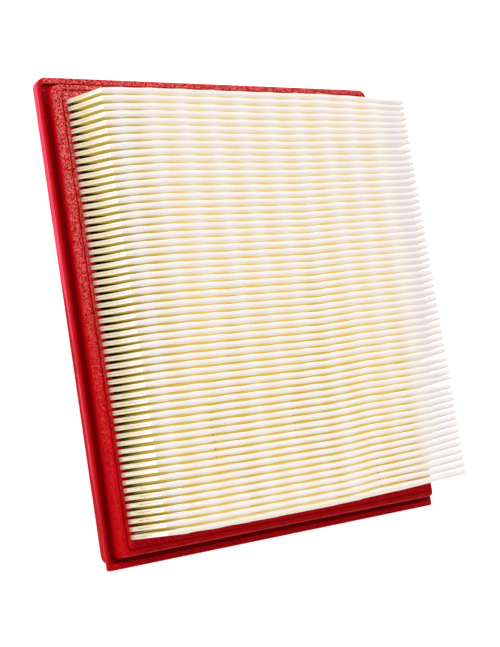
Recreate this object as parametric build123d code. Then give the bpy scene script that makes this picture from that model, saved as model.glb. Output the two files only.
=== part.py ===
from build123d import *
from math import acos, atan2, cos, floor, hypot, pi, sin
import os

# A panel air filter: a sheet of paper folded into upright pleats, spaced by thin adhesive
# beads, with its four edges potted in one moulded frame of soft polyurethane.
# The filter lies on the frame's rear face. X runs along the folds, Y across them, and +Z is
# the side where the pleats stand out. The origin is the middle of the rear face.

# Driving dimensions, in millimetres and degrees.

# The frame's flange, which the housing clamps.
frame_width = 202.0
frame_length = 220.0
flange_thick = 6.0
flange_corner = 4.0
rear_edge_round = 1.0

# The lip is the flange's front layer. It overhangs the layer behind it, mostly at the near end,
# which is the end towards -Y. Its two corners there are sharper than the rest.
lip_thick = 2.0
lip_corner_near = 1.2
lip_overhang = 0.3
lip_overhang_near = 2.8
lip_edge_round = 0.4

# A deep channel runs round the lip's front, outside the collar.
lip_rim_sides = 1.2
lip_rim_ends = 2.8
channel_width_sides = 2.8
channel_width_ends = 1.6
channel_depth = 3.0

# The collar stands up from the flange and holds the pleats.
collar_height = 7.0
collar_draft = 6.0
collar_corner = 2.0
collar_edge_round = 1.2
collar_width_sides = 5.1
collar_width_ends = 7.6

# A narrow groove runs round the collar's top.
groove_inset_sides = 2.5
groove_inset_ends = 2.9
groove_width = 0.8
groove_depth = 1.0

# Between the pleat ends, the potting reaches inwards past the collar as a lower ledge. Along
# the two end pleats, the ledge stays clear of the rear folds.
potting_overlap = 2.8
ledge_clearance = 0.15
ledge_drop = 0.9
opening_corner = 0.8

# The pleated paper. The crests are tight folds and the rear folds are rounder. The pitch is
# measured at the crests, because the pleats fan out a little towards the rear.
pack_height = 41.0
rear_recess = 1.0
pleat_pitch = 3.36
paper_thick = 0.9
crest_bore_radius = 0.15
rear_bore_radius = 0.4
end_leg_spread = 1.1

# The adhesive beads, four on the front of the paper and four on its rear.
bead_count = 4
bead_margin_left = 10.7
bead_margin_right = 21.0
bead_width = 0.8
bead_thick = 0.1
bead_end_clearance = 0.6

# Heights above the rear face.
collar_top = flange_thick + collar_height
channel_floor = flange_thick - channel_depth
ledge_top = collar_top - ledge_drop

# Plan insets from the frame's outer edge.
collar_inset_sides = lip_rim_sides + channel_width_sides
collar_inset_ends = lip_rim_ends + channel_width_ends
opening_inset_sides = collar_inset_sides + collar_width_sides
opening_inset_ends = collar_inset_ends + collar_width_ends

# The paper ends flush with the collar's inner wall, and reaches into the ledge below it.
paper_length = frame_width - 2 * opening_inset_sides
opening_length = frame_length - 2 * opening_inset_ends

# The folds' radii, to the middle of the paper and to its outer face.
crest_radius = crest_bore_radius + paper_thick / 2
rear_radius = rear_bore_radius + paper_thick / 2
crest_outer_radius = crest_bore_radius + paper_thick
rear_outer_radius = rear_bore_radius + paper_thick
crest_centre_z = pack_height - crest_outer_radius
rear_centre_z = rear_recess + rear_outer_radius

# As many pleats as the opening holds, with room for the two end legs to slope outwards.
crest_run = opening_length - 2 * end_leg_spread - 2 * crest_outer_radius
pleat_count = floor(crest_run / pleat_pitch) + 1
first_crest_y = -(pleat_count - 1) * pleat_pitch / 2

# The pleats fan out evenly, so that the end legs meet the collar's inner top edges.
fan_at_collar = opening_length / 2 / (crest_outer_radius - first_crest_y) - 1
fan_at_rear = fan_at_collar * (crest_centre_z - rear_centre_z) / (crest_centre_z - collar_top)
rear_pitch = pleat_pitch * (1 + fan_at_rear)
first_rear_y = -(pleat_count - 2) * rear_pitch / 2
ledge_half_length = rear_outer_radius - first_rear_y + bead_thick + ledge_clearance


def plate(inset_sides, inset_ends, corner, low, high):
    """A flat plate with rounded corners, inset from the frame's outline."""
    width = frame_width - 2 * inset_sides
    length = frame_length - 2 * inset_ends
    outline = RectangleRounded(width, length, corner)
    return extrude(Pos(0, 0, low) * outline, high - low)


def lip_outline():
    """The lip's outline, with sharper corners at the near end."""
    outline = Rectangle(frame_width, frame_length)
    outline = fillet(outline.vertices().sort_by(Axis.Y)[-2:], flange_corner)
    return fillet(outline.vertices().sort_by(Axis.Y)[:2], lip_corner_near)


def rounded_plate(solid, low_round, high_round):
    """The plate with the edges of its lower and upper face rounded, where a radius is given."""
    if high_round > 0:
        solid = fillet(solid.faces().sort_by(Axis.Z)[-1].edges(), high_round)
    if low_round > 0:
        solid = fillet(solid.faces().sort_by(Axis.Z)[0].edges(), low_round)
    return solid


def ring_cut(inset_sides, inset_ends, width_sides, width_ends, corner, low, high):
    """A ring of the given widths, used to cut the channel and the groove."""
    inner_corner = max(corner - max(width_sides, width_ends), 0.2)
    outer = plate(inset_sides, inset_ends, corner, low, high)
    inner = plate(inset_sides + width_sides, inset_ends + width_ends, inner_corner, low, high)
    return outer - inner


def tangent_angle(run_y, run_z, reach):
    """The angle of the normal to a straight flank that lies at a given reach from a centre."""
    return atan2(run_z, run_y) + acos(reach / hypot(run_y, run_z))


def flank_angle(run_y):
    """The angle of the normal to the flank that runs from a crest down to a rear fold."""
    return tangent_angle(run_y, rear_centre_z - crest_centre_z, crest_radius + rear_radius)


def around(centre_y, centre_z, radius, angle):
    """A point in the YZ plane, on a circle."""
    return Vector(0, centre_y + radius * cos(angle), centre_z + radius * sin(angle))


def arc_round(centre_y, centre_z, radius, first, last):
    """The arc between two angles on a circle in the YZ plane."""
    return ThreePointArc(
        around(centre_y, centre_z, radius, first),
        around(centre_y, centre_z, radius, (first + last) / 2),
        around(centre_y, centre_z, radius, last),
    )


# The angle of an end leg's normal above the horizontal.
end_leg_angle = tangent_angle(
    opening_length / 2 + first_crest_y, collar_top - crest_centre_z, crest_outer_radius
)


def fold_line(offset, foot_z):
    """One side of the folded sheet, from one foot to the other, at an offset from its middle."""
    crest = crest_radius + offset
    rear = rear_radius - offset
    foot_drop = crest_centre_z + crest * sin(end_leg_angle) - foot_z
    foot_spread = crest * cos(end_leg_angle) + foot_drop * sin(end_leg_angle) / cos(end_leg_angle)
    edges = []
    last = Vector(0, first_crest_y - foot_spread, foot_z)
    rise = end_leg_angle
    for number in range(pleat_count):
        crest_y = first_crest_y + number * pleat_pitch
        rear_y = first_rear_y + number * rear_pitch
        is_last = number == pleat_count - 1
        fall = end_leg_angle if is_last else flank_angle(rear_y - crest_y)
        fold = arc_round(crest_y, crest_centre_z, crest, pi - rise, fall)
        edges.append(Line(last, fold @ 0))
        edges.append(fold)
        last = fold @ 1
        if is_last:
            break
        rise = flank_angle(crest_y + pleat_pitch - rear_y)
        fold = arc_round(rear_y, rear_centre_z, rear, pi + fall, 2 * pi - rise)
        edges.append(Line(last, fold @ 0))
        edges.append(fold)
        last = fold @ 1
    foot = Vector(0, -first_crest_y + foot_spread, foot_z)
    edges.append(Line(last, foot))
    return edges


def folded_sheet(rear_offset, front_offset, foot_z, low_x, high_x):
    """A folded layer between two offsets from the paper's middle, from low_x to high_x."""
    front = fold_line(front_offset, foot_z)
    rear = fold_line(rear_offset, foot_z)
    left_foot = Line(rear[0] @ 0, front[0] @ 0)
    right_foot = Line(front[-1] @ 1, rear[-1] @ 1)
    outline = Face(Wire(front + rear + [left_foot, right_foot]))
    return Solid.extrude(Pos(low_x, 0, 0) * outline, Vector(high_x - low_x, 0, 0))


def make_paper():
    """The pleated paper. Its feet stand as far above the rear face as its rear folds do."""
    half_thick = paper_thick / 2
    return folded_sheet(-half_thick, half_thick, rear_recess, -paper_length / 2, paper_length / 2)


def make_frame(paper):
    """The moulded frame, with a pocket for each edge of the paper that is potted in it."""
    back_centre_y = (lip_overhang_near - lip_overhang) / 2
    back_inset_ends = (lip_overhang_near + lip_overhang) / 2
    back = plate(lip_overhang, back_inset_ends, flange_corner, 0, flange_thick - lip_thick / 2)
    back = Pos(0, back_centre_y, 0) * rounded_plate(back, rear_edge_round, 0)
    lip = Pos(0, 0, flange_thick - lip_thick) * extrude(lip_outline(), lip_thick)
    lip = rounded_plate(lip, lip_edge_round, lip_edge_round)
    frame = back + lip

    channel_corner = max(flange_corner - lip_rim_sides, collar_corner)
    frame -= ring_cut(
        lip_rim_sides, lip_rim_ends, channel_width_sides, channel_width_ends,
        channel_corner, channel_floor, collar_top,
    )

    collar_outline = RectangleRounded(
        frame_width - 2 * collar_inset_sides, frame_length - 2 * collar_inset_ends, collar_corner
    )
    collar = extrude(
        Pos(0, 0, channel_floor) * collar_outline, collar_top - channel_floor, taper=collar_draft
    )
    frame += rounded_plate(collar, 0, collar_edge_round)

    frame -= ring_cut(
        collar_inset_sides + groove_inset_sides, collar_inset_ends + groove_inset_ends,
        groove_width, groove_width, collar_corner, collar_top - groove_depth, collar_top + groove_depth,
    )

    frame -= plate(
        opening_inset_sides, opening_inset_ends, opening_corner, ledge_top, collar_top + ledge_drop
    )
    ledge_inset_sides = opening_inset_sides + potting_overlap
    ledge_inset_ends = frame_length / 2 - ledge_half_length
    frame -= plate(
        ledge_inset_sides, ledge_inset_ends, opening_corner, -flange_thick, collar_top
    )
    return frame - paper


def make_bead(number, side):
    """One line of adhesive that follows the paper's front or rear over every fold."""
    spacing = (paper_length - bead_margin_left - bead_margin_right) / (bead_count - 1)
    middle_x = -paper_length / 2 + bead_margin_left + number * spacing
    half_thick = paper_thick / 2
    low_x = middle_x - bead_width / 2
    high_x = middle_x + bead_width / 2
    if side == "front":
        foot_z = collar_top + bead_end_clearance
        return folded_sheet(half_thick, half_thick + bead_thick, foot_z, low_x, high_x)
    foot_z = ledge_top + bead_end_clearance
    return folded_sheet(-half_thick - bead_thick, -half_thick, foot_z, low_x, high_x)


def write(solid, node):
    """Write one node's solid to its own file."""
    export_step(solid, os.path.join("parts", node + ".step"))
    print(node, "volume", round(solid.volume, 1))


os.makedirs("parts", exist_ok=True)
print("pleats", pleat_count, "paper", round(paper_length, 2), "by", round(pack_height, 2))
pleated_paper = make_paper()
write(pleated_paper, "pleated_paper")
write(make_frame(pleated_paper), "frame")
for side in ("front", "rear"):
    for number in range(bead_count):
        write(make_bead(number, side), "spacer_bead_" + side + "_" + str(number + 1))
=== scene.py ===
# %% [markdown]
# # A pleated panel air filter
# The filter is a moulded soft frame with a pack of folded paper standing in it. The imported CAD
# model gives every size and place. This script loads it, builds the pieces again with the detail
# that a camera sees, and dresses them in materials made from nodes.

# %% Load the fixed frame
import bpy
import bmesh
from math import atan2, cos, pi, radians, sin
from mathutils import Matrix, Vector, noise


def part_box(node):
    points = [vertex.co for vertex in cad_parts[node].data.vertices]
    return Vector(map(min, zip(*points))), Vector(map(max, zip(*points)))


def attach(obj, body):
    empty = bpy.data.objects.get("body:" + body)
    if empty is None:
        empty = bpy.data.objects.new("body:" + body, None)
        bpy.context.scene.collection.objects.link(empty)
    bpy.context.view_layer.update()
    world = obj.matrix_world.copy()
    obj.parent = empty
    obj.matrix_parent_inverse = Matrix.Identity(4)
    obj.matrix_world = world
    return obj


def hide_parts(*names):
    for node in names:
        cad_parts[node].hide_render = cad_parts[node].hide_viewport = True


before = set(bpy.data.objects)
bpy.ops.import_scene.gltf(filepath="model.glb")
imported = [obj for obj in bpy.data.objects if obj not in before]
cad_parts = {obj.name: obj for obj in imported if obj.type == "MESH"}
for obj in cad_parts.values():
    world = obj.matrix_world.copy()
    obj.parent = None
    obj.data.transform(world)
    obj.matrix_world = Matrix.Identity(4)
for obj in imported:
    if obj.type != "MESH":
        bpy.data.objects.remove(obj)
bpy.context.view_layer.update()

# %% [markdown]
# ## Camera
# The camera comes first, because everything else is judged through it. It looks down on the
# filter from beyond its left edge, and it is rolled so that the folds run across the picture.
# A long lens keeps the perspective as mild as in a catalogue picture.

# %% Camera
MM = 0.001
CAMERA_PLACE = Vector((-468.5, -65.6, 566.1)) * MM
CAMERA_TARGET = Vector((-14.61, -9.54, 21.9)) * MM
CAMERA_ROLL = radians(75.8)
CAMERA_LENS = 84.98

camera_data = bpy.data.cameras.new("product_camera")
camera = bpy.data.objects.new("product_camera", camera_data)
bpy.context.scene.collection.objects.link(camera)
bpy.context.scene.camera = camera
look = (CAMERA_TARGET - CAMERA_PLACE).to_track_quat("-Z", "Y").to_matrix().to_4x4()
camera.matrix_world = Matrix.Translation(CAMERA_PLACE) @ look @ Matrix.Rotation(CAMERA_ROLL, 4, "Z")
camera_data.lens = CAMERA_LENS
camera_data.sensor_width = 36.0
camera_data.clip_start = 0.01
camera_data.clip_end = 20.0
print("camera distance, mm:", round(1000 * (CAMERA_TARGET - CAMERA_PLACE).length))

# %% [markdown]
# ## Stage and light
# The stage is one pale plane a hair below the filter. A white world gives light from all round,
# which fills the gaps between the pleats. It is dark in one part of the sky, beyond the right
# side, where the frame's flat faces would mirror it, so their red stays deep. One broad panel
# stands high beyond the far left corner and brightens the sides that face it. A smaller panel
# beyond the far end draws highlights on the creased skin there.

# %% Stage
def new_material(name):
    """A material with an empty surface, and its node tree."""
    material = bpy.data.materials.new(name)
    material.use_nodes = True
    return material, material.node_tree


def link_piece(name, mesh):
    """An object at the origin that shows a mesh."""
    piece = bpy.data.objects.new(name, mesh)
    bpy.context.scene.collection.objects.link(piece)
    return piece


STAGE_SIZE = 4.0
STAGE_DROP = 0.4 * MM

floor_bm = bmesh.new()
floor_place = Matrix.Translation((0.0, 0.0, -STAGE_DROP))
bmesh.ops.create_grid(floor_bm, x_segments=1, y_segments=1, size=STAGE_SIZE / 2, matrix=floor_place)
floor_mesh = bpy.data.meshes.new("pale_floor")
floor_bm.to_mesh(floor_mesh)
floor_bm.free()
floor = link_piece("pale_floor", floor_mesh)

floor_material, tree = new_material("pale_floor")
shader = tree.nodes["Principled BSDF"]
shader.inputs["Base Color"].default_value = (0.96, 0.96, 0.96, 1.0)
shader.inputs["Roughness"].default_value = 0.9
shader.inputs["Specular IOR Level"].default_value = 0.1
shader.inputs["Emission Color"].default_value = (1.0, 1.0, 1.0, 1.0)
shader.inputs["Emission Strength"].default_value = 0.7
floor_mesh.materials.append(floor_material)
print("stage, m:", STAGE_SIZE)

# %% World
WORLD_STRENGTH = 0.62
DARK_STRENGTH = 0.12
DARK_DIRECTION = Vector((0.62, -0.12, 0.77))
DARK_EDGE_COSINE = 0.80
DARK_FULL_COSINE = 0.95

world = bpy.data.worlds.new("studio_world")
world.use_nodes = True
bpy.context.scene.world = world
bpy.context.scene.view_settings.view_transform = "Standard"
tree = world.node_tree
background = tree.nodes["Background"]
background.inputs["Color"].default_value = (1.0, 1.0, 1.0, 1.0)
direction = tree.nodes.new("ShaderNodeTexCoord").outputs["Generated"]
facing = tree.nodes.new("ShaderNodeVectorMath")
facing.operation = "DOT_PRODUCT"
tree.links.new(direction, facing.inputs[0])
facing.inputs[1].default_value = DARK_DIRECTION.normalized()
strength = tree.nodes.new("ShaderNodeMapRange")
strength.interpolation_type = "SMOOTHSTEP"
tree.links.new(facing.outputs["Value"], strength.inputs["Value"])
strength.inputs["From Min"].default_value = DARK_EDGE_COSINE
strength.inputs["From Max"].default_value = DARK_FULL_COSINE
strength.inputs["To Min"].default_value = WORLD_STRENGTH
strength.inputs["To Max"].default_value = DARK_STRENGTH
tree.links.new(strength.outputs["Result"], background.inputs["Strength"])
print("world strength:", WORLD_STRENGTH)

# %% Light panels
PANEL_DISTANCE = 1.3


def add_panel(name, azimuth, height, size, power):
    """A square soft light that faces the filter from a direction given in degrees."""
    turn, climb = radians(azimuth), radians(height)
    direction = Vector((cos(climb) * cos(turn), cos(climb) * sin(turn), sin(climb)))
    data = bpy.data.lights.new(name, "AREA")
    data.size = size
    data.energy = power
    panel = bpy.data.objects.new(name, data)
    panel.location = PANEL_DISTANCE * direction
    panel.rotation_euler = (-direction).to_track_quat("-Z", "Y").to_euler()
    bpy.context.scene.collection.objects.link(panel)
    print(name, "at, m:", [round(value, 2) for value in panel.location])


add_panel("key_panel", 118, 55, 0.7, 9.0)
add_panel("far_panel", 36, 50, 0.5, 3.0)

# %% [markdown]
# ## Sizes shared by the pieces
# The frame and the paper fit each other, so both are worked out from one set of sizes. The
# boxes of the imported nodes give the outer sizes, and the rest are the moulding's own details.

# %% Sizes
_, frame_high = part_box("frame")
paper_low, paper_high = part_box("pleated_paper")
half_width = frame_high.x
half_length = frame_high.y
collar_top = frame_high.z
pack_top = paper_high.z
paper_end_x = paper_high.x

FLANGE_THICK = 6.0 * MM
FLANGE_CORNER = 4.0 * MM
LIP_THICK = 2.0 * MM
LIP_CORNER_NEAR = 1.2 * MM
LIP_OVERHANG = 0.3 * MM
LIP_OVERHANG_NEAR = 2.8 * MM
LIP_RIM_SIDES = 1.2 * MM
LIP_RIM_ENDS = 2.8 * MM
CHANNEL_WIDTH_SIDES = 2.8 * MM
CHANNEL_WIDTH_ENDS = 1.6 * MM
CHANNEL_DEPTH = 3.0 * MM
COLLAR_DRAFT = 0.8 * MM
COLLAR_CORNER = 2.0 * MM
COLLAR_WIDTH_SIDES = 5.1 * MM
COLLAR_WIDTH_ENDS = 7.6 * MM
GROOVE_INSET_SIDES = 2.5 * MM
GROOVE_INSET_ENDS = 2.9 * MM
GROOVE_WIDTH = 0.8 * MM
GROOVE_DEPTH = 1.0 * MM
LEDGE_DROP = 0.9 * MM
LEDGE_REACH_SIDES = 2.8 * MM
LEDGE_REACH_ENDS = 0.2 * MM
OPENING_CORNER = 0.8 * MM
WALL_DRAFT = 0.1 * MM

PAPER_THICK = 0.9 * MM
PLEAT_COUNT = 58
PLEAT_PITCH = 3.36 * MM
CREST_RADIUS = 0.6 * MM
REAR_RADIUS = 0.85 * MM

collar_sides = LIP_RIM_SIDES + CHANNEL_WIDTH_SIDES
collar_ends = LIP_RIM_ENDS + CHANNEL_WIDTH_ENDS
opening_sides = collar_sides + COLLAR_WIDTH_SIDES
opening_ends = collar_ends + COLLAR_WIDTH_ENDS
opening_half_length = half_length - opening_ends
first_crest_y = -(PLEAT_COUNT - 1) * PLEAT_PITCH / 2
crest_centre_z = pack_top - CREST_RADIUS - PAPER_THICK / 2
rear_centre_z = paper_low.z + REAR_RADIUS + PAPER_THICK / 2
tip_half_length = CREST_RADIUS + PAPER_THICK / 2 - first_crest_y
fan_at_collar = opening_half_length / tip_half_length - 1
fan_per_metre = fan_at_collar / (crest_centre_z - collar_top)
print("fan at the collar:", round(fan_at_collar, 4))

# %% [markdown]
# ## The paper's folds
# The paper is one long sheet, folded to and fro. Its embossed dimples hold the folds apart: in
# regular lines across the pack, each pleat swells until it nearly touches the next one. Between
# those lines the gaps open into long lens shapes. No two pleats stand quite alike, so each one
# gets its own small lean and height. The numbers in a noise's vector are its scales and seeds.
#
# A flat grid is the right start, because the real sheet is flat too. Each row of the grid is
# carried to its place round the folds, and the dimples and the leaning are part of that place.

# %% Folding the sheet
DIMPLE_PERIOD = 17.1 * MM
DIMPLE_LINE_X = 2.9 * MM
DIMPLE_SWELL = 0.24 * MM
DIMPLE_DEPTH = 16.0 * MM
TIP_WANDER = 0.13 * MM
TIP_DROP = 0.35 * MM
END_DROP = 0.5 * MM
END_ROUNDING = 1.4 * MM
END_PINCH = 0.09 * MM
END_PINCH_REACH = 6.0 * MM
END_CLOSING = 14.0 * MM
CLOSING_CURVE = 0.7
END_SPREAD = 0.45 * MM
END_FLARE = 1.8 * MM
FLARE_LOSS = 0.7
END_LEG_BOW = 1.9 * MM
TIP_LEAN_START = 30.0 * MM
TIP_LEAN_CURVE = 1.3
TIP_LEANS = (
    (0, 1.4), (2, 1.5), (4, 2.1), (7, 1.8), (9, 1.3), (12, 0.9), (13, 0.5), (14, 1.6), (15, 0.9),
    (17, 0.8), (18, 2.0), (19, 1.6), (22, 1.7), (46, 1.0), (47, 0.5), (49, 0.5), (50, 1.3),
    (52, 0.5), (53, 0.0), (54, -0.2), (55, -0.9), (57, -1.8),
)
BODY_LEAN_NEAR = -1.4 * MM
BODY_LEAN_FAR = -0.3 * MM
BODY_LEAN_END = TIP_LEAN_START + 10.0 * MM
BODY_LEAN_FADE = 30.0 * MM
LEFT_LEAN_START = 58.0 * MM
LEFT_LEAN_CURVE = 1.6
LEFT_LEANS = ((0, 0.7), (6, 0.6), (18, -0.2), (30, -0.9), (48, -2.1), (52, -1.5), (57, -0.6))
LEAN_CURVE = 0.8
CREST_STEPS = 6
FLANK_STEPS = 6
REAR_STEPS = 3
FLANK_STEP_CURVE = 1.4

rows_per_pleat = CREST_STEPS + 2 * FLANK_STEPS + REAR_STEPS
rear_pitch = PLEAT_PITCH * (1 + fan_per_metre * (crest_centre_z - rear_centre_z))
rear_reach = rear_pitch / 2 - REAR_RADIUS


def clamp(value, low, high):
    """The value, kept between two limits."""
    return min(max(value, low), high)


def pleat_noise(number, seed):
    """A repeatable value from about -1 to 1 for one pleat."""
    return 1.8 * noise.noise(Vector((number * 7.31, seed * 3.7, 0.5)))


def dimple(x):
    """How strongly the dimples swell the pleat at a place along it, from 0 to 1."""
    turn = 2 * pi * (x - DIMPLE_LINE_X) / DIMPLE_PERIOD
    return (0.5 + 0.5 * cos(turn)) ** 2


def end_fade(x):
    """One in the middle of the pack, falling to zero at the paper's cut ends."""
    reach = clamp((paper_end_x - abs(x)) / END_ROUNDING, 0.0, 1.0)
    return reach * (2.0 - reach)


def end_bow(x):
    """How far an end leg bows outwards at a place along it."""
    return END_LEG_BOW * (1 - (x / paper_end_x) ** 2)


def flare(number, height, x):
    """How far the free tips spread past the opening, at the right end and mostly near the eye."""
    freedom = clamp((height - collar_top) / (crest_centre_z - collar_top), 0.0, 1.0)
    near = 1 - FLARE_LOSS * number / (PLEAT_COUNT - 1)
    return END_FLARE * freedom * near * clamp(x / paper_end_x, 0.0, 1.0) ** 2


def lean_between(table, number):
    """The lean of one pleat, in millimetres, read between the pleats in a table."""
    for (low, here), (high, there) in zip(table, table[1:]):
        if low <= number <= high:
            return here + (there - here) * (number - low) / (high - low)
    return 0.0


def pleat_lean(number, x):
    """How far a crest leans along the pack, which differs at its middle and its two ends."""
    right = clamp((x - TIP_LEAN_START) / (paper_end_x - TIP_LEAN_START), 0.0, 1.0)
    body = clamp((BODY_LEAN_END - x) / BODY_LEAN_FADE, 0.0, 1.0)
    left = clamp((-x - LEFT_LEAN_START) / (paper_end_x - LEFT_LEAN_START), 0.0, 1.0)
    near = 1 - (number / (PLEAT_COUNT - 1)) ** 2
    lean = (BODY_LEAN_FAR + (BODY_LEAN_NEAR - BODY_LEAN_FAR) * near) * body * body * (3 - 2 * body)
    lean += lean_between(LEFT_LEANS, number) * MM * left ** LEFT_LEAN_CURVE
    return lean + lean_between(TIP_LEANS, number) * MM * right ** TIP_LEAN_CURVE


def pleat_middle(number, height, x):
    """The Y of a pleat's middle plane at a height, with its fan, lean and wander."""
    tip_y = first_crest_y + number * PLEAT_PITCH
    depth = crest_centre_z - height
    freedom = clamp(1 - depth / (crest_centre_z - collar_top), 0.0, 1.0)
    slow = noise.noise(Vector((x * 14.0, number * 0.9, 4.2)))
    lean = TIP_WANDER * (pleat_noise(number, 1) + 0.8 * slow) + pleat_lean(number, x)
    return tip_y * (1 + fan_per_metre * depth) + lean * freedom ** LEAN_CURVE


def crest_drop(number, x):
    """How far a pleat's crest stands below the pack's full height."""
    slow = noise.noise(Vector((x * 9.0, number * 1.7, 9.1)))
    uneven = 0.5 + 0.5 * clamp(0.7 * pleat_noise(number, 2) + 0.5 * slow, -1.0, 1.0)
    return TIP_DROP * uneven + END_DROP * (1 - end_fade(x)) ** 2


def half_gap(height, x):
    """Half the distance between the middles of a pleat's two sheets."""
    depth = max(crest_centre_z - height, 0.0)
    share = min(depth / (crest_centre_z - rear_centre_z), 1.0)
    spread = END_SPREAD * 4 * share * (1 - share) * clamp(x / paper_end_x, 0.0, 1.0) ** 2
    share *= clamp((paper_end_x - abs(x)) / END_CLOSING, 0.0, 1.0) ** CLOSING_CURVE
    swell = DIMPLE_SWELL * dimple(x) * end_fade(x) * max(1 - depth / DIMPLE_DEPTH, 0.0)
    pinch = END_PINCH * (1 - clamp((paper_end_x - abs(x)) / END_PINCH_REACH, 0.0, 1.0)) ** 2
    return CREST_RADIUS + (rear_reach - CREST_RADIUS) * share + spread + swell - pinch


def flank_place(number, side, share, foot_z, x):
    """A place on one flank of a pleat, at a share of the way from its crest to a foot."""
    top = crest_centre_z - crest_drop(number, x)
    height = top + (foot_z - top) * share ** FLANK_STEP_CURVE
    y = pleat_middle(number, height, x) + side * half_gap(height, x)
    if number == 0 and side < 0 or number == PLEAT_COUNT - 1 and side > 0:
        y += side * end_bow(x) * clamp((top - height) / (top - collar_top), 0.0, 1.0)
    return Vector((x + flare(number, height, x), y, height))


def sheet_place(number, row, x):
    """Where a row of the sheet lies: round the crest, down a flank, or round a rear fold."""
    if row < CREST_STEPS:
        turn = pi * (1 - row / (CREST_STEPS - 1))
        top = crest_centre_z - crest_drop(number, x)
        y = pleat_middle(number, top, x) + half_gap(top, x) * cos(turn)
        return Vector((x + flare(number, top, x), y, top + CREST_RADIUS * sin(turn)))
    row -= CREST_STEPS
    if row < FLANK_STEPS:
        return flank_place(number, 1, (row + 1) / FLANK_STEPS, rear_centre_z, x)
    row -= FLANK_STEPS
    if row < REAR_STEPS:
        turn = pi * (row + 1) / (REAR_STEPS + 1)
        here = flank_place(number, 1, 1.0, rear_centre_z, x)
        there = flank_place(number + 1, -1, 1.0, rear_centre_z, x)
        place = here.lerp(there, 0.5 - 0.5 * cos(turn))
        place.z -= REAR_RADIUS * sin(turn)
        return place
    row -= REAR_STEPS
    return flank_place(number + 1, -1, (FLANK_STEPS - row) / FLANK_STEPS, rear_centre_z, x)


print("rows in each pleat:", rows_per_pleat)

# %% [markdown]
# ## Cutting and thickening the sheet
# The same folding serves the paper and the adhesive lines on it, which follow every fold. The
# grid is first folded as a skin with no thickness. It is then moved out to the surface that the
# layer starts from, and given its thickness with the solidify operator.

# %% Folded layers
SHARP_ANGLE = radians(50)
HALF_REAR_FOLD = (REAR_STEPS + 1) // 2


def folded_layer(first, last, low_x, high_x, columns, start, thick, foot_z):
    """A folded layer from one crest to another, between two places along the folds."""
    crest_rows = (last - first) * rows_per_pleat + CREST_STEPS
    rows_before = FLANK_STEPS if first == 0 else FLANK_STEPS + HALF_REAR_FOLD
    rows_after = FLANK_STEPS if last == PLEAT_COUNT - 1 else FLANK_STEPS + HALF_REAR_FOLD
    rows = rows_before + crest_rows + rows_after
    bm = bmesh.new()
    depth_layer = bm.verts.layers.float.new("crest_depth")
    swell_layer = bm.verts.layers.float.new("swell")
    bmesh.ops.create_grid(bm, x_segments=columns, y_segments=rows - 1, size=0.5)
    for vert in bm.verts:
        x = low_x + (high_x - low_x) * (vert.co.x + 0.5)
        row = round((vert.co.y + 0.5) * (rows - 1)) - rows_before
        if row < 0 and first == 0:
            vert.co = flank_place(first, -1, -row / FLANK_STEPS, foot_z, x)
        elif row >= crest_rows and last == PLEAT_COUNT - 1:
            vert.co = flank_place(last, 1, (row - crest_rows + 1) / FLANK_STEPS, foot_z, x)
        else:
            vert.co = sheet_place(first + row // rows_per_pleat, row % rows_per_pleat, x)
        vert[depth_layer] = pack_top - vert.co.z
        vert[swell_layer] = dimple(x) * end_fade(x)
    bm.normal_update()
    for vert in bm.verts:
        vert.co += vert.normal * start
    bmesh.ops.solidify(bm, geom=bm.faces[:], thickness=thick)
    bmesh.ops.recalc_face_normals(bm, faces=bm.faces[:])
    return bm


def finish_mesh(bm, name, materials):
    """Smooth faces with crisp corners, turned into a mesh with its materials."""
    bm.normal_update()
    for face in bm.faces:
        face.smooth = True
    for edge in bm.edges:
        edge.smooth = edge.is_manifold and edge.calc_face_angle() < SHARP_ANGLE
    mesh = bpy.data.meshes.new(name)
    bm.to_mesh(mesh)
    bm.free()
    for material in materials:
        mesh.materials.append(material)
    return link_piece(name, mesh)


def triangle_count(piece):
    """How many triangles a piece's mesh has."""
    return sum(len(polygon.vertices) - 2 for polygon in piece.data.polygons)


print("layers are folded from grids")

# %% [markdown]
# ## Shared surface effects
# Two effects are kept as node groups. The first is a fine mottle, a mask of soft spots in two
# sizes, which every finish uses. The second is the frame's skin of small creases, which gives a
# height for a bump.

# %% Shared node groups
FINE_SPOT_RATIO = 4.3
GRAIN_RATIO = 3.0
PAD_STEEPNESS = 9.0


def new_group(name, inputs, outputs):
    """A shader node group with named number inputs and outputs, and its end nodes."""
    group = bpy.data.node_groups.new(name, "ShaderNodeTree")
    number = "NodeSocketFloat"
    for title, default in inputs:
        socket = group.interface.new_socket(name=title, in_out="INPUT", socket_type=number)
        socket.default_value = default
    for title in outputs:
        group.interface.new_socket(name=title, in_out="OUTPUT", socket_type=number)
    return group, group.nodes.new("NodeGroupInput"), group.nodes.new("NodeGroupOutput")


def math_node(tree, operation, first, second):
    """A math node on two sockets or numbers."""
    node = tree.nodes.new("ShaderNodeMath")
    node.operation = operation
    for slot, value in enumerate((first, second)):
        if isinstance(value, (int, float)):
            node.inputs[slot].default_value = value
        else:
            tree.links.new(value, node.inputs[slot])
    return node.outputs["Value"]


def noise_node(tree, place, scale, detail):
    """A noise texture on object coordinates, and its height."""
    node = tree.nodes.new("ShaderNodeTexNoise")
    node.inputs["Detail"].default_value = detail
    tree.links.new(place, node.inputs["Vector"])
    if isinstance(scale, (int, float)):
        node.inputs["Scale"].default_value = scale
    else:
        tree.links.new(scale, node.inputs["Scale"])
    return node.outputs["Fac"]


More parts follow.
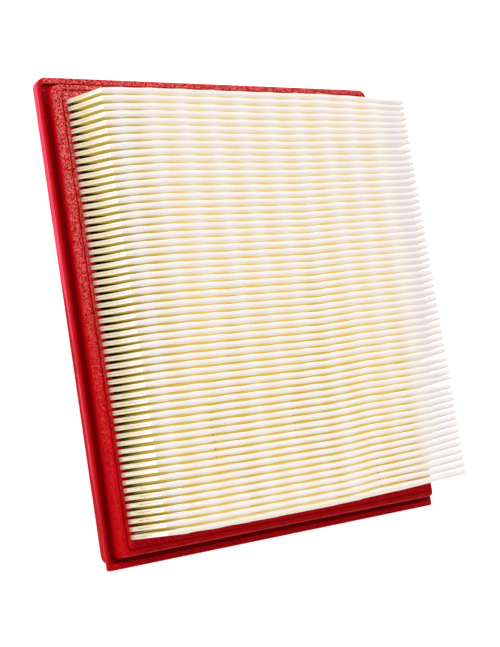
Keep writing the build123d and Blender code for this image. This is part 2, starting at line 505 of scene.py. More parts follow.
def make_mottle_group():
    """A mask of soft spots, coarse and fine, from 0 to 1."""
    group, ins, outs = new_group("fine_mottle", [("Scale", 400.0), ("Contrast", 2.0)], ["Mask"])
    place = group.nodes.new("ShaderNodeTexCoord").outputs["Object"]
    coarse = noise_node(group, place, ins.outputs["Scale"], 2.0)
    fine_scale = math_node(group, "MULTIPLY", ins.outputs["Scale"], FINE_SPOT_RATIO)
    fine = noise_node(group, place, fine_scale, 2.0)
    both = math_node(group, "ADD", coarse, fine)
    centred = math_node(group, "SUBTRACT", both, 1.0)
    strong = math_node(group, "MULTIPLY", centred, ins.outputs["Contrast"])
    mask = math_node(group, "ADD", strong, 0.5)
    limited = group.nodes.new("ShaderNodeClamp")
    group.links.new(mask, limited.inputs["Value"])
    group.links.new(limited.outputs["Result"], outs.inputs["Mask"])
    return group


def make_crease_group():
    """A height made of soft pads with narrow creases between them, and a finer grain on top."""
    group, ins, outs = new_group("creased_skin", [("Scale", 450.0), ("Grain", 0.3)], ["Height"])
    place = group.nodes.new("ShaderNodeTexCoord").outputs["Object"]
    folds = noise_node(group, place, ins.outputs["Scale"], 1.5)
    centred = math_node(group, "SUBTRACT", folds, 0.5)
    rising = math_node(group, "ABSOLUTE", centred, 0.0)
    steep = math_node(group, "MULTIPLY", rising, PAD_STEEPNESS)
    pads = math_node(group, "MINIMUM", steep, 1.0)
    grain_scale = math_node(group, "MULTIPLY", ins.outputs["Scale"], GRAIN_RATIO)
    grain = noise_node(group, place, grain_scale, 2.0)
    grain_height = math_node(group, "MULTIPLY", grain, ins.outputs["Grain"])
    height = math_node(group, "ADD", pads, grain_height)
    group.links.new(height, outs.inputs["Height"])
    return group


mottle_group = make_mottle_group()
crease_group = make_crease_group()
print("node groups:", [group.name for group in bpy.data.node_groups])

# %% Node helpers
def product(tree, first, *others):
    """Several sockets or numbers multiplied together."""
    for other in others:
        first = math_node(tree, "MULTIPLY", first, other)
    return first


def absolute(tree, value):
    """The size of a value, without its sign."""
    return math_node(tree, "ABSOLUTE", value, 0.0)


def split_axes(tree, vector):
    """The X, Y and Z of a vector socket."""
    node = tree.nodes.new("ShaderNodeSeparateXYZ")
    tree.links.new(vector, node.inputs["Vector"])
    return node.outputs["X"], node.outputs["Y"], node.outputs["Z"]


def object_place(tree):
    """The place of a point in the piece's own axes, as a socket."""
    return tree.nodes.new("ShaderNodeTexCoord").outputs["Object"]


def face_normal(tree):
    """The direction that the surface faces, as a socket."""
    return tree.nodes.new("ShaderNodeNewGeometry").outputs["Normal"]


def mesh_value(tree, name):
    """A value that the mesh keeps at its points."""
    node = tree.nodes.new("ShaderNodeAttribute")
    node.attribute_name = name
    return node.outputs["Fac"]


def place_group(tree, group, **values):
    """A copy of a shared group in a material, with its own values."""
    node = tree.nodes.new("ShaderNodeGroup")
    node.node_tree = group
    for title, value in values.items():
        node.inputs[title].default_value = value
    return node


def mix_colour(tree, factor, first, second):
    """A colour between two colours or sockets, by a factor socket."""
    node = tree.nodes.new("ShaderNodeMix")
    node.data_type = "RGBA"
    tree.links.new(factor, node.inputs["Factor"])
    for socket, value in ((node.inputs[6], first), (node.inputs[7], second)):
        if isinstance(value, tuple):
            socket.default_value = (*value, 1.0)
        else:
            tree.links.new(value, socket)
    return node.outputs[2]


def map_range(tree, value, low, high, new_low=0.0, new_high=1.0):
    """A value carried from one range to another, smoothly."""
    node = tree.nodes.new("ShaderNodeMapRange")
    node.interpolation_type = "SMOOTHSTEP"
    tree.links.new(value, node.inputs["Value"])
    node.inputs["From Min"].default_value = low
    node.inputs["From Max"].default_value = high
    node.inputs["To Min"].default_value = new_low
    node.inputs["To Max"].default_value = new_high
    return node.outputs["Result"]


def add_bump(tree, shader, height, strength, distance):
    """A bump on the shader from a height socket."""
    node = tree.nodes.new("ShaderNodeBump")
    node.inputs["Strength"].default_value = strength
    node.inputs["Distance"].default_value = distance
    tree.links.new(height, node.inputs["Height"])
    tree.links.new(node.outputs["Normal"], shader.inputs["Normal"])


def add_glow(tree, shader, colour):
    """A faint glow, which stands in for light that bounces about in a gap."""
    tree.links.new(colour, shader.inputs["Emission Color"])
    shader.inputs["Emission Strength"].default_value = 1.0


print("node helpers are ready")

# %% [markdown]
# ## Paper finish
# Filter paper is matte and a little fibrous. Its colour carries painted light and shade. The
# crests are painted pale with light and look nearly white. Down in the gaps the light has bounced
# from sheet to sheet, and the paper looks golden, so the colour deepens below the crests as
# painted shade. Painted light keeps it pale on the rear folds and on the two end legs, which stand
# in the open, and pales the gaps near the right end and the cut edges near the crests. Painted
# shade dims the gaps near the left end and darkens the paper near the roots. Each colour has a
# glow beside it, painted light, because bounced light alone leaves the gaps too grey. The named
# bands give where one colour passes into the next.

# %% Paper materials
DEPTH_SHADE_COLOURS = [
    (0.00, (0.41, 0.38, 0.365)),
    (0.06, (0.42, 0.385, 0.36)),
    (0.22, (0.48, 0.43, 0.31)),
    (0.50, (0.50, 0.41, 0.17)),
    (1.00, (0.42, 0.34, 0.12)),
]
GLOW_COLOURS = [
    (0.00, (0.49, 0.455, 0.435)),
    (0.06, (0.48, 0.44, 0.41)),
    (0.22, (0.43, 0.375, 0.24)),
    (0.50, (0.42, 0.33, 0.10)),
    (1.00, (0.42, 0.32, 0.06)),
]
DEPTH_SPAN = 14.0 * MM
BELOW_CRESTS = (0.10, 0.40)
SWELL_LIFT = 0.20
MOTTLE_STRENGTH = 0.10
LEFT_STRENGTH = 0.6
NO_GLOW = (0.0, 0.0, 0.0)
MOTTLE_TAN = (0.72, 0.55, 0.30)
RIGHT_END_LIGHT_PALE = (0.46, 0.43, 0.42)
RIGHT_GLOW = (0.41, 0.38, 0.37)
LEFT_GAP_SHADE_GLOW = (0.12, 0.10, 0.0)
ROOT_SHADE = (0.12, 0.06, 0.02)
LEG_LIGHT_PALE = (0.42, 0.39, 0.34)
NEAR_LEG_GLOW = (0.46, 0.42, 0.36)
FAR_LEG_GLOW = (0.24, 0.21, 0.17)
REAR_LIGHT_PALE = (0.66, 0.61, 0.53)
REAR_GLOW = (0.26, 0.235, 0.20)
EDGE_CORE = (0.70, 0.60, 0.42)
EDGE_FIBRE = (0.78, 0.68, 0.50)
EDGE_LIT_PALE = (0.70, 0.65, 0.61)
EDGE_CORE_GLOW = (0.02, 0.02, 0.01)
EDGE_LIT_GLOW = (0.30, 0.27, 0.25)

RIGHT_END_X = (73.0 * MM, 82.0 * MM)
LEFT_END_X = (-88.0 * MM, -50.0 * MM)
PAST_ROOTS_X = (-84.0 * MM, -70.0 * MM)
ABOVE_REAR_Z = (9.0 * MM, 14.0 * MM)
ABOVE_ROOTS_Z = (13.5 * MM, 21.0 * MM)
REAR_FOLD_Z = (4.5 * MM, 1.0 * MM)
EDGE_LIT_Z = (21.0 * MM, 40.0 * MM)
OUTER_LEG_Y = (95.7 * MM, 96.5 * MM)
FAR_HALF_Y = (-10.0 * MM, 10.0 * MM)
FACING_DOWN = (0.2, -0.4)
PAPER_ROUGHNESS = (0.82, 0.95)
PAPER_BUMP = 0.1 * MM


def colour_ramp(tree, factor, stops):
    """A colour that runs through several stops."""
    node = tree.nodes.new("ShaderNodeValToRGB")
    ramp = node.color_ramp
    for _ in range(len(stops) - 2):
        ramp.elements.new(0.5)
    for element, (place, colour) in zip(ramp.elements, stops):
        element.position = place
        element.color = (*colour, 1.0)
    tree.links.new(factor, node.inputs["Fac"])
    return node.outputs["Color"]


def rear_fold_mask(tree, height):
    """One on the outsides of the rear folds, which face down, and zero elsewhere."""
    _, _, facing_z = split_axes(tree, face_normal(tree))
    downward = map_range(tree, facing_z, *FACING_DOWN)
    return product(tree, map_range(tree, height, *REAR_FOLD_Z), downward)


def make_paper_material():
    """Matte embossed paper, painted pale on the crests and golden in painted shade on the flanks.
    """
    material, tree = new_material("embossed_paper")
    shader = tree.nodes["Principled BSDF"]
    place = object_place(tree)
    x, y, z = split_axes(tree, place)
    level = math_node(tree, "DIVIDE", mesh_value(tree, "crest_depth"), DEPTH_SPAN)
    lift = product(tree, mesh_value(tree, "swell"), SWELL_LIFT)
    lifted = math_node(tree, "SUBTRACT", level, lift)
    # Painted light: the gaps near the right end are pale and glow more, as if lit through the open
    # end.
    right_end_light = product(tree, map_range(tree, x, *RIGHT_END_X), map_range(tree, z, *ABOVE_REAR_Z))
    # Painted shade: the gaps near the left end get a dimmer, olive glow.
    left_end = map_range(tree, x, *LEFT_END_X, LEFT_STRENGTH, 0.0)
    left_gap_shade = product(tree, left_end, map_range(tree, level, *BELOW_CRESTS))
    # Painted shade: near the roots the paper is dark brown and has no glow.
    past_roots = map_range(tree, x, *PAST_ROOTS_X)
    lit = math_node(tree, "MAXIMUM", map_range(tree, z, *ABOVE_ROOTS_Z), past_roots)
    # Painted light: the end legs and the rear folds stand in the open and stay pale, the near leg
    # glowing most.
    outer_leg = map_range(tree, absolute(tree, y), *OUTER_LEG_Y)
    rear_fold = rear_fold_mask(tree, z)

    mottle = place_group(tree, mottle_group, Scale=420.0, Contrast=1.6).outputs["Mask"]
    shade = map_range(tree, mottle, 0.0, 1.0, 0.0, MOTTLE_STRENGTH)
    # Painted light and shade: pale on the crests, golden down in the gaps, paler where dimples
    # swell.
    colour = mix_colour(tree, shade, colour_ramp(tree, lifted, DEPTH_SHADE_COLOURS), MOTTLE_TAN)
    colour = mix_colour(tree, right_end_light, colour, RIGHT_END_LIGHT_PALE)
    colour = mix_colour(tree, lit, ROOT_SHADE, colour)
    colour = mix_colour(tree, outer_leg, colour, LEG_LIGHT_PALE)
    colour = mix_colour(tree, rear_fold, colour, REAR_LIGHT_PALE)
    tree.links.new(colour, shader.inputs["Base Color"])

    glow = mix_colour(tree, left_gap_shade, colour_ramp(tree, lifted, GLOW_COLOURS), LEFT_GAP_SHADE_GLOW)
    glow = mix_colour(tree, right_end_light, glow, RIGHT_GLOW)
    glow = mix_colour(tree, lit, NO_GLOW, glow)
    leg_glow = mix_colour(tree, map_range(tree, y, *FAR_HALF_Y), NEAR_LEG_GLOW, FAR_LEG_GLOW)
    glow = mix_colour(tree, outer_leg, glow, leg_glow)
    add_glow(tree, shader, mix_colour(tree, rear_fold, glow, REAR_GLOW))

    roughness = map_range(tree, mottle, 0.0, 1.0, *PAPER_ROUGHNESS)
    tree.links.new(roughness, shader.inputs["Roughness"])
    shader.inputs["Specular IOR Level"].default_value = 0.2
    add_bump(tree, shader, noise_node(tree, place, 1500.0, 3.0), 0.35, PAPER_BUMP)
    return material


def make_cut_edge_material():
    """The paper's cut edge, with the core's loose fibres, painted paler with light near the crests.
    """
    material, tree = new_material("cut_paper_edge")
    shader = tree.nodes["Principled BSDF"]
    place = object_place(tree)
    mottle = place_group(tree, mottle_group, Scale=900.0, Contrast=2.4).outputs["Mask"]
    fibrous = mix_colour(tree, mottle, EDGE_CORE, EDGE_FIBRE)
    _, _, z = split_axes(tree, place)
    # Painted light: the cut edge is paler and glows more towards the crests.
    lit_near_crest = map_range(tree, z, *EDGE_LIT_Z)
    colour = mix_colour(tree, lit_near_crest, fibrous, EDGE_LIT_PALE)
    tree.links.new(colour, shader.inputs["Base Color"])
    add_glow(tree, shader, mix_colour(tree, lit_near_crest, EDGE_CORE_GLOW, EDGE_LIT_GLOW))
    shader.inputs["Roughness"].default_value = 0.95
    shader.inputs["Specular IOR Level"].default_value = 0.2
    add_bump(tree, shader, noise_node(tree, place, 2600.0, 3.0), 0.5, PAPER_BUMP)
    return material


paper_material = make_paper_material()
cut_material = make_cut_edge_material()
print("paper materials:", paper_material.name, cut_material.name)

# %% [markdown]
# ## The pleated paper
# One sheet with every fold would be too heavy a mesh for a single piece. The sheet is cut
# into three lengths where nobody looks, along the bottom of two rear folds.

# %% Paper pieces
PAPER_COLUMNS = 96
PAPER_CUTS = (0, 19, 39, PLEAT_COUNT)
CUT_EDGE_FACING = 0.7

for number, (first, following) in enumerate(zip(PAPER_CUTS, PAPER_CUTS[1:]), start=1):
    paper_bm = folded_layer(
        first, following - 1, -paper_end_x, paper_end_x,
        PAPER_COLUMNS, PAPER_THICK / 2, PAPER_THICK, rear_centre_z,
    )
    paper_bm.normal_update()
    for face in paper_bm.faces:
        face.material_index = 1 if abs(face.normal.x) > CUT_EDGE_FACING else 0
    name = "paper_pleats_" + str(number)
    piece = finish_mesh(paper_bm, name, [paper_material, cut_material])
    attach(piece, "root")
    print(name, "triangles:", triangle_count(piece))
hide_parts("pleated_paper")

# %% [markdown]
# ## Adhesive lines
# Thin lines of hot-melt adhesive hold the pleats apart. The nozzles lay four of them on each
# side of the flat paper, so a line follows every fold. Each is a narrow layer folded in the same
# way as the paper, on its surface.

# %% Adhesive finish
ADHESIVE_PALE = (0.52, 0.50, 0.47)
ADHESIVE_GREEN = (0.42, 0.45, 0.40)
ADHESIVE_GAP_SHADE = (0.24, 0.19, 0.07)
ADHESIVE_GLOW = (0.36, 0.37, 0.33)
ADHESIVE_ROUGHNESS = (0.35, 0.6)
FRONT_FOLD_Z = (28.0 * MM, 37.0 * MM)


def make_adhesive_material():
    """Thin dried adhesive with a soft shine, painted light in the open, painted shade in the gaps.
    """
    material, tree = new_material("dried_adhesive")
    shader = tree.nodes["Principled BSDF"]
    _, y, z = split_axes(tree, object_place(tree))
    fold = math_node(tree, "MAXIMUM", map_range(tree, z, *FRONT_FOLD_Z), rear_fold_mask(tree, z))
    end_leg = map_range(tree, absolute(tree, y), *OUTER_LEG_Y)
    # Painted light in the open, on the folds and the end legs, and painted shade down in the gaps.
    lit_in_open = math_node(tree, "MAXIMUM", fold, end_leg)
    mottle = place_group(tree, mottle_group, Scale=700.0, Contrast=3.0).outputs["Mask"]
    pale = mix_colour(tree, mottle, ADHESIVE_PALE, ADHESIVE_GREEN)
    colour = mix_colour(tree, lit_in_open, ADHESIVE_GAP_SHADE, pale)
    tree.links.new(colour, shader.inputs["Base Color"])
    add_glow(tree, shader, mix_colour(tree, lit_in_open, NO_GLOW, ADHESIVE_GLOW))
    shine = map_range(tree, mottle, 0.0, 1.0, *ADHESIVE_ROUGHNESS)
    tree.links.new(shine, shader.inputs["Roughness"])
    shader.inputs["IOR"].default_value = 1.48
    return material


adhesive_material = make_adhesive_material()
print("adhesive material:", adhesive_material.name)

# %% Adhesive pieces
BEAD_WIDTH = 0.6 * MM
BEAD_THICK = 0.08 * MM
BEADS_PER_SIDE = 4
bead_foot_z = collar_top + 0.6 * MM

for side, start in (("front", PAPER_THICK / 2 + BEAD_THICK), ("rear", -PAPER_THICK / 2)):
    for number in range(1, BEADS_PER_SIDE + 1):
        node = "spacer_bead_" + side + "_" + str(number)
        bead_low, bead_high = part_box(node)
        middle_x = (bead_low.x + bead_high.x) / 2
        bead_bm = folded_layer(
            0, PLEAT_COUNT - 1, middle_x - BEAD_WIDTH / 2, middle_x + BEAD_WIDTH / 2,
            2, start, BEAD_THICK, bead_foot_z,
        )
        name = "adhesive_line_" + side + "_" + str(number)
        piece = finish_mesh(bead_bm, name, [adhesive_material])
        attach(piece, "root")
        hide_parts(node)
print("adhesive lines:", 2 * BEADS_PER_SIDE, "each with triangles:", triangle_count(piece))

# %% [markdown]
# ## The frame's section
# The frame is poured as a liquid and foams up in a mould, so it is one soft moulding. Its section
# is the same all the way round, apart from its width. That makes it a ring of stations: a closed
# loop of points round the filter for each corner of the section. The first loop is made from a
# circle, and each next one is extruded from the last and carried to its place.

# %% Frame outline
SIDE_STEPS = 348
END_STEPS = 220
CORNER_STEPS = 8
outline_steps = 2 * (SIDE_STEPS + END_STEPS + 2 * CORNER_STEPS)


def outline_place(step, half_x, half_y, corner, other_corner):
    """A point on a rounded rectangle, counted from its right side, with its far corners first."""
    flat_x = half_x - corner
    flat_y = half_y - corner
    turn = radians(90) / CORNER_STEPS
    if step < SIDE_STEPS:
        start = other_corner - half_y
        return half_x, start + (flat_y - start) * step / SIDE_STEPS
    step -= SIDE_STEPS
    if step < CORNER_STEPS:
        return flat_x + corner * cos(turn * step), flat_y + corner * sin(turn * step)
    step -= CORNER_STEPS
    if step < END_STEPS:
        return flat_x - 2 * flat_x * step / END_STEPS, half_y
    step -= END_STEPS
    if step < CORNER_STEPS:
        return -flat_x - corner * sin(turn * step), flat_y + corner * cos(turn * step)
    x, y = outline_place(step - CORNER_STEPS, half_x, half_y, other_corner, corner)
    return -x, -y


print("steps round the outline:", outline_steps)

# %% Frame stations
def station(
    inset_sides, inset_ends, corner, height, edge_round=0.0, cuts=0, shift_y=0.0, near=None
):
    """One corner of the section, and how many more loops lie between it and the next one."""
    near_corner = corner if near is None else near
    place = (inset_sides, inset_ends, corner, near_corner, height, shift_y)
    return {"place": place, "edge_round": edge_round, "cuts": cuts}


channel_floor = FLANGE_THICK - CHANNEL_DEPTH
lip_under = FLANGE_THICK - LIP_THICK
ledge_top = collar_top - LEDGE_DROP
groove_floor = collar_top - GROOVE_DEPTH
ledge_sides = opening_sides + LEDGE_REACH_SIDES
ledge_ends = opening_ends + LEDGE_REACH_ENDS
groove_sides = collar_sides + GROOVE_INSET_SIDES
groove_ends = collar_ends + GROOVE_INSET_ENDS
back_ends = (LIP_OVERHANG_NEAR + LIP_OVERHANG) / 2
back_shift = (LIP_OVERHANG_NEAR - LIP_OVERHANG) / 2
channel_corner = FLANGE_CORNER - LIP_RIM_SIDES

stations = [
    station(ledge_sides, ledge_ends, OPENING_CORNER, 0.0, 0.5 * MM, 3),
    station(LIP_OVERHANG, back_ends, FLANGE_CORNER, 0.0, 1.0 * MM, 2, back_shift),
    station(LIP_OVERHANG, back_ends, FLANGE_CORNER, lip_under, 0.0, 0, back_shift),
    station(0.0, 0.0, FLANGE_CORNER, lip_under, 0.2 * MM, 1, 0.0, LIP_CORNER_NEAR),
    station(0.0, 0.0, FLANGE_CORNER, FLANGE_THICK, 0.4 * MM, 1, 0.0, LIP_CORNER_NEAR),
    station(LIP_RIM_SIDES, LIP_RIM_ENDS, channel_corner, FLANGE_THICK, 0.3 * MM, 1),
    station(
        LIP_RIM_SIDES + 2 * WALL_DRAFT, LIP_RIM_ENDS + WALL_DRAFT, channel_corner, channel_floor,
    ),
    station(
        collar_sides - WALL_DRAFT, collar_ends - WALL_DRAFT, COLLAR_CORNER, channel_floor, 0.0, 5,
    ),
    station(
        collar_sides + COLLAR_DRAFT, collar_ends + COLLAR_DRAFT, COLLAR_CORNER, collar_top,
        0.9 * MM, 1,
    ),
    station(groove_sides, groove_ends, COLLAR_CORNER, collar_top, 0.25 * MM),
    station(groove_sides + WALL_DRAFT, groove_ends + WALL_DRAFT, COLLAR_CORNER, groove_floor),
    station(
        groove_sides + GROOVE_WIDTH - WALL_DRAFT, groove_ends + GROOVE_WIDTH - WALL_DRAFT,
        COLLAR_CORNER, groove_floor,
    ),
    station(
        groove_sides + GROOVE_WIDTH, groove_ends + GROOVE_WIDTH, COLLAR_CORNER, collar_top,
        0.3 * MM, 2,
    ),
    station(opening_sides, opening_ends, OPENING_CORNER, collar_top, 0.3 * MM),
    station(opening_sides, opening_ends, OPENING_CORNER, ledge_top, 0.0, 1),
    station(ledge_sides, ledge_ends, OPENING_CORNER, ledge_top, 0.0, 2),
]


def with_loops_between(corners):
    """The places and edge rounds of the stations, with their extra loops worked out."""
    longer = []
    for here, following in zip(corners, corners[1:] + corners[:1]):
        longer.append((here["place"], here["edge_round"]))
        for number in range(1, here["cuts"] + 1):
            share = number / (here["cuts"] + 1)
            pairs = zip(here["place"], following["place"])
            longer.append((tuple(one + (two - one) * share for one, two in pairs), 0.0))
    return longer


loops = with_loops_between(stations)
print("corners in the section:", len(stations), "loops:", len(loops))

# %% [markdown]
# ## Moulding the frame
# The wide faces have more loops across them, so that the creases have something to bend. The edge
# loops that are round on the real moulding are bevelled.

# %% Frame ring
def carry_ring(verts, step_layer, place):
    """Carry one loop of points to a place of the section."""
    inset_sides, inset_ends, corner, near_corner, height, shift_y = place
    half_x = half_width - inset_sides
    half_y = half_length - inset_ends
    for vert in verts:
        x, y = outline_place(vert[step_layer], half_x, half_y, corner, near_corner)
        vert.co = Vector((x, y + shift_y, height))


def make_ring():
    """The closed ring with its edge loops bevelled."""
    bm = bmesh.new()
    step_layer = bm.verts.layers.int.new("step")
    bmesh.ops.create_circle(bm, segments=outline_steps, radius=1.0)
    by_turn = sorted(bm.verts, key=lambda vert: atan2(vert.co.y, vert.co.x) % (2 * pi))
    for step, vert in enumerate(by_turn):
        vert[step_layer] = step
    carry_ring(by_turn, step_layer, loops[0][0])
    ring_edges = bm.edges[:]
    round_edges = [(loops[0][1], ring_edges)]
    for place, edge_round in loops[1:]:
        grown = bmesh.ops.extrude_edge_only(bm, edges=ring_edges)["geom"]
        ring_verts = {item for item in grown if isinstance(item, bmesh.types.BMVert)}
        ring_edges = [item for item in grown if isinstance(item, bmesh.types.BMEdge)]
        ring_edges = [edge for edge in ring_edges if ring_verts.issuperset(edge.verts)]
        carry_ring(ring_verts, step_layer, place)
        round_edges.append((edge_round, ring_edges))
    bmesh.ops.bridge_loops(bm, edges=round_edges[0][1] + ring_edges)
    for edge_round, edges in round_edges:
        if edge_round > 0:
            bmesh.ops.bevel(
                bm, geom=edges, offset=edge_round, offset_type="OFFSET", affect="EDGES",
                segments=3, profile=0.5, material=-1, loop_slide=True, clamp_overlap=True,
            )
    bmesh.ops.recalc_face_normals(bm, faces=bm.faces[:])
    return bm


frame_bm = make_ring()
ring_is_closed = all(edge.is_manifold for edge in frame_bm.edges)
print("frame faces:", len(frame_bm.faces), "closed:", ring_is_closed)

# %% [markdown]
# ## The marks of moulding
# The foam rises between the pleats and wets their sides, while it stays low where a folded end
# presses into it, which leaves a scalloped edge. Where it cures against air or thin mould grease,
# its skin shrinks into fine creases. Both are moves of the ring's own points. Each point also
# keeps how much painted shade the finish gives it, by how deep it lies in the channel or groove.

# %% Scallops and creases
SCALLOP_DIP = 1.1 * MM
SCALLOP_CLIMB = 0.35 * MM
SCALLOP_BLEND = 0.5 * MM
SCALLOP_DEPTH = 0.3 * MM
BOW_BLEND = 2.0 * MM
EDGE_RAGGED = 0.35 * MM
EDGE_REACH = 0.4 * MM
CREASE_HEIGHT = 0.11 * MM
CREASE_SIZE = 1.7 * MM
FINER_CREASES = 2.3
SIDE_CREASES = 0.25
RECESS_LOWEST = 1.0 * MM
RECESS_MARGIN = 0.1 * MM
GROOVE_LIP = 0.4 * MM
GROOVE_SHADE = 0.7 * MM
CHANNEL_SHADE_TOP = 8.0 * MM
CHANNEL_SHADE = 3.5 * MM
FAR_RECESS_SHADE = 0.25
NEAR_RECESS_SHADE = 0.8

collar_pitch = PLEAT_PITCH * (1 + fan_at_collar)
first_collar_y = first_crest_y * (1 + fan_at_collar)
groove_lip_sides = groove_sides - GROOVE_LIP
groove_lip_ends = groove_ends - GROOVE_LIP


def pleat_share(y):
    """One in line with a pleat's end, zero in the middle of the gap beside it."""
    return 0.5 + 0.5 * cos(2 * pi * (y - first_collar_y) / collar_pitch)


def scallop(place):
    """The move of a point of the collar, beside the pleat ends or along the end legs."""
    inset_x = half_width - abs(place.x)
    inset_y = half_length - abs(place.y)
    move = Vector((0.0, 0.0, 0.0))
    if inset_x > opening_sides and inset_y > groove_ends + GROOVE_WIDTH:
        inward = clamp((inset_y - groove_ends - GROOVE_WIDTH) / BOW_BLEND, 0.0, 1.0)
        low = clamp(place.z / ledge_top, 0.0, 1.0)
        move.y = (1 if place.y > 0 else -1) * end_bow(place.x) * inward * low
    if place.z < ledge_top - SCALLOP_DEPTH:
        return move
    if inset_x > opening_sides - SCALLOP_BLEND and inset_y > opening_ends:
        near = clamp((inset_x - opening_sides + SCALLOP_BLEND) / SCALLOP_BLEND, 0.0, 1.0)
        share = pleat_share(place.y)
        move.z = near * (SCALLOP_CLIMB * (1 - share) - SCALLOP_DIP * share)
    elif inset_y > opening_ends - EDGE_REACH:
        ragged = noise.noise(Vector((place.x * 600.0, place.y * 90.0, 2.0)))
        coarse = noise.noise(Vector((place.x * 160.0, place.y * 90.0, 7.0)))
        move.z = EDGE_RAGGED * (ragged + coarse)
    return move


def crease(place, normal):
    """The move along the normal that makes the skin's creases, strongest on upward faces."""
    fine = noise.noise(place / CREASE_SIZE)
    finer = noise.noise(place * FINER_CREASES / CREASE_SIZE)
    up = clamp(normal.z, 0.0, 1.0)
    side = SIDE_CREASES if normal.z > -0.5 else 0.0
    return CREASE_HEIGHT * (fine + 0.5 * finer) * max(up, side)


def recess_shade(place):
    """Painted shade: one deep in the channel or groove at the sides, less at ends, zero in the
    open.
    """
    inset_x = half_width - abs(place.x)
    inset_y = half_length - abs(place.y)
    on_rim = inset_x < LIP_RIM_SIDES + WALL_DRAFT or inset_y < LIP_RIM_ENDS
    if on_rim or place.z < RECESS_LOWEST:
        return 0.0
    if inset_x > opening_sides - RECESS_MARGIN and inset_y > opening_ends - RECESS_MARGIN:
        return 0.0
    strongest = 1.0
    if inset_y < opening_ends and inset_x > collar_sides:
        strongest = FAR_RECESS_SHADE if place.y > 0 else NEAR_RECESS_SHADE
    if inset_x > groove_lip_sides and inset_y > groove_lip_ends:
        return strongest * clamp((collar_top - place.z) / GROOVE_SHADE, 0.0, 1.0)
    return strongest * clamp((CHANNEL_SHADE_TOP - place.z) / CHANNEL_SHADE, 0.0, 1.0)


recess_shade_layer = frame_bm.verts.layers.float.new("recess_shade")
for vert in frame_bm.verts:
    vert[recess_shade_layer] = recess_shade(vert.co)
frame_bm.normal_update()
moves = [
    scallop(vert.co) + vert.normal * crease(vert.co, vert.normal) for vert in frame_bm.verts
]
for vert, move in zip(frame_bm.verts, moves):
    vert.co += move
print("largest move, mm:", round(1000 * max(move.length for move in moves), 2))

# %% [markdown]
# ## Polyurethane finish
# The frame is deep red soft foam with a closed skin. Painted shade darkens the creases of the
# skin on its upward faces, and the rim at the sides is painted a darker red as shade. Towards the
# far end, the creased pads of the skin carry a pale pink painted highlight under a thin coat, and
# painted glints of the same pink are strewn on the upward faces, fainter towards the near end. The
# flange's outer side has a painted reflection, a pink stripe. The recesses are painted darkest
# as shade, with a faint red glow in them for the light that bounces from wall to wall, and a
# brighter red glow is painted light on the ledge between the pleat ends.

# %% Polyurethane material
DEEP_RED = (0.50, 0.001, 0.004)
BRIGHT_RED = (0.62, 0.002, 0.009)
CREASE_SHADE_RED = (0.26, 0.0, 0.001)
RECESS_SHADE_RED = (0.19, 0.0, 0.0)
RIM_SHADE_RED = (0.43, 0.001, 0.004)
HIGHLIGHT_PINK = (0.80, 0.17, 0.15)
REFLECTION_PINK = (0.86, 0.055, 0.13)
CHANNEL_GLOW = (0.045, 0.0, 0.0)
GROOVE_GLOW = (0.15, 0.0, 0.001)
LEDGE_GLOW = (0.20, 0.0, 0.002)

RAISED_Z = (7.6 * MM, 9.8 * MM)
ABOVE_CHANNEL_Z = (4.2 * MM, 5.4 * MM)
GROOVE_Z = (8.0 * MM, 11.0 * MM)
LEDGE_Z = (9.5 * MM, 11.0 * MM)
BELOW_LIP_Z = (4.4 * MM, 3.8 * MM)
OFF_RIM_X = (99.6 * MM, 98.5 * MM)
LEDGE_X = (92.1 * MM, 91.6 * MM)
LEDGE_Y = (98.0 * MM, 97.6 * MM)
FAR_PART_Y = (-60.0 * MM, 90.0 * MM)
GLINT_FADE_Y = (-100.0 * MM, 20.0 * MM)
FACING_UP = (0.2, 0.9)
FACING_SIDE = (0.6, 0.9)
CREASE_SHADE_HEIGHTS = (0.80, 0.30)
CREASE_SHADE_STRENGTH = 0.75
PAD_HEIGHTS = (0.55, 1.15)
PAD_STRENGTH = 0.62
GLINT_HEIGHTS = (0.56, 0.70)
GLINT_STRENGTH = 0.6
COAT_STRENGTH = 0.5
RECESS_SHADE_STRENGTH = 0.92
SKIN_ROUGHNESS = (0.34, 0.48)
REFLECTION_EDGE = (-2.6 * MM, -1.6 * MM)
REFLECTION_EDGE_NEAR = 3.4 * MM
REFLECTION_EDGE_FAR = 0.8 * MM
REFLECTION_WAVE = 4.0 * MM
SKIN_BUMP = 0.3 * MM


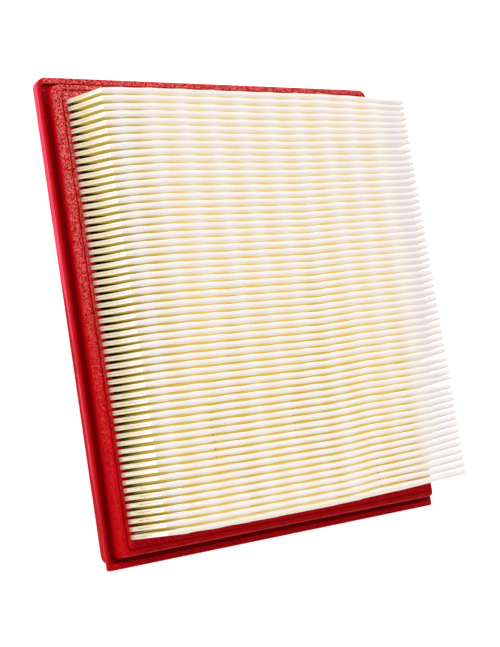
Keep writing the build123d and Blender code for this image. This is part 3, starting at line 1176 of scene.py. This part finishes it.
def make_polyurethane_material():
    """Deep red soft foam with creased skin, painted highlights and painted shade in its recesses.
    """
    material, tree = new_material("red_polyurethane")
    shader = tree.nodes["Principled BSDF"]
    place = object_place(tree)
    x, y, z = split_axes(tree, place)
    facing_x, _, facing_z = split_axes(tree, face_normal(tree))
    level_face = map_range(tree, facing_z, *FACING_UP)
    creased = math_node(tree, "MAXIMUM", level_face, map_range(tree, z, *RAISED_Z))
    off_rim = map_range(tree, absolute(tree, x), *OFF_RIM_X)
    upward = product(tree, creased, off_rim)
    far = map_range(tree, y, *FAR_PART_Y)
    # Painted highlight: pale pink on the creased pads of upward faces, towards the far end.
    highlight_side = product(tree, upward, far, map_range(tree, z, *ABOVE_CHANNEL_Z))

    mottle = place_group(tree, mottle_group, Scale=260.0, Contrast=2.0).outputs["Mask"]
    creases = place_group(tree, crease_group, Scale=680.0, Grain=0.5).outputs["Height"]
    # Painted shade: darker red in the creases of the skin, on upward faces.
    crease_shade = map_range(tree, creases, *CREASE_SHADE_HEIGHTS, 0.0, CREASE_SHADE_STRENGTH)
    pad = map_range(tree, creases, *PAD_HEIGHTS, 0.0, PAD_STRENGTH)
    # Painted glints: pale pink specks on upward faces, fainter towards the near end.
    glint_noise = noise_node(tree, place, 1300.0, 1.0)
    painted_glint = map_range(tree, glint_noise, *GLINT_HEIGHTS, 0.0, GLINT_STRENGTH)
    glint_fade = map_range(tree, y, *GLINT_FADE_Y, 0.1, 1.0)
    colour = mix_colour(tree, mottle, DEEP_RED, BRIGHT_RED)
    colour = mix_colour(tree, product(tree, crease_shade, upward), colour, CREASE_SHADE_RED)
    colour = mix_colour(tree, product(tree, pad, highlight_side), colour, HIGHLIGHT_PINK)
    colour = mix_colour(tree, product(tree, painted_glint, glint_fade, upward), colour, HIGHLIGHT_PINK)
    # Painted shade: the rim at the sides is a darker red.
    colour = mix_colour(tree, off_rim, RIM_SHADE_RED, colour)

    # Painted reflection: a pink stripe on the flange's outer sides, its wavy lower edge lower at
    # the far end.
    outer_side = map_range(tree, absolute(tree, facing_x), *FACING_SIDE)
    wave = product(tree, noise_node(tree, place, 28.0, 1.0), REFLECTION_WAVE)
    lowest = map_range(tree, far, 0.0, 1.0, REFLECTION_EDGE_NEAR, REFLECTION_EDGE_FAR)
    above = math_node(tree, "SUBTRACT", z, math_node(tree, "ADD", lowest, wave))
    reflection_band = map_range(tree, above, *REFLECTION_EDGE)
    painted_reflection = product(tree, reflection_band, map_range(tree, z, *BELOW_LIP_Z), outer_side)
    colour = mix_colour(tree, painted_reflection, colour, REFLECTION_PINK)
    # Painted shade: the channel and the groove turn dark red, by the share that each point keeps.
    depth = map_range(tree, mesh_value(tree, "recess_shade"), 0.0, 1.0, 0.0, RECESS_SHADE_STRENGTH)
    colour = mix_colour(tree, depth, colour, RECESS_SHADE_RED)
    tree.links.new(colour, shader.inputs["Base Color"])

    recess_glow = mix_colour(tree, map_range(tree, z, *GROOVE_Z), CHANNEL_GLOW, GROOVE_GLOW)
    glow = mix_colour(tree, depth, NO_GLOW, recess_glow)
    # Painted light: the ledge between the pleat ends gets a red glow.
    past_sides = map_range(tree, absolute(tree, x), *LEDGE_X)
    past_ends = map_range(tree, absolute(tree, y), *LEDGE_Y)
    on_ledge = product(tree, past_sides, past_ends, map_range(tree, z, *LEDGE_Z))
    add_glow(tree, shader, mix_colour(tree, on_ledge, glow, LEDGE_GLOW))

    shine = map_range(tree, mottle, 0.0, 1.0, *SKIN_ROUGHNESS)
    tree.links.new(shine, shader.inputs["Roughness"])
    shader.inputs["IOR"].default_value = 1.5
    shader.inputs["Specular IOR Level"].default_value = 0.04
    open_pad = product(tree, pad, math_node(tree, "SUBTRACT", 1.0, depth))
    tree.links.new(product(tree, open_pad, highlight_side, COAT_STRENGTH), shader.inputs["Coat Weight"])
    shader.inputs["Coat Roughness"].default_value = 0.3
    strength = map_range(tree, highlight_side, 0.0, 1.0, 0.3, 1.0)
    add_bump(tree, shader, product(tree, creases, strength), 0.8, SKIN_BUMP)
    return material


polyurethane = make_polyurethane_material()
frame_piece = finish_mesh(frame_bm, "moulded_frame", [polyurethane])
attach(frame_piece, "root")
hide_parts("frame")
print("moulded_frame triangles:", triangle_count(frame_piece))
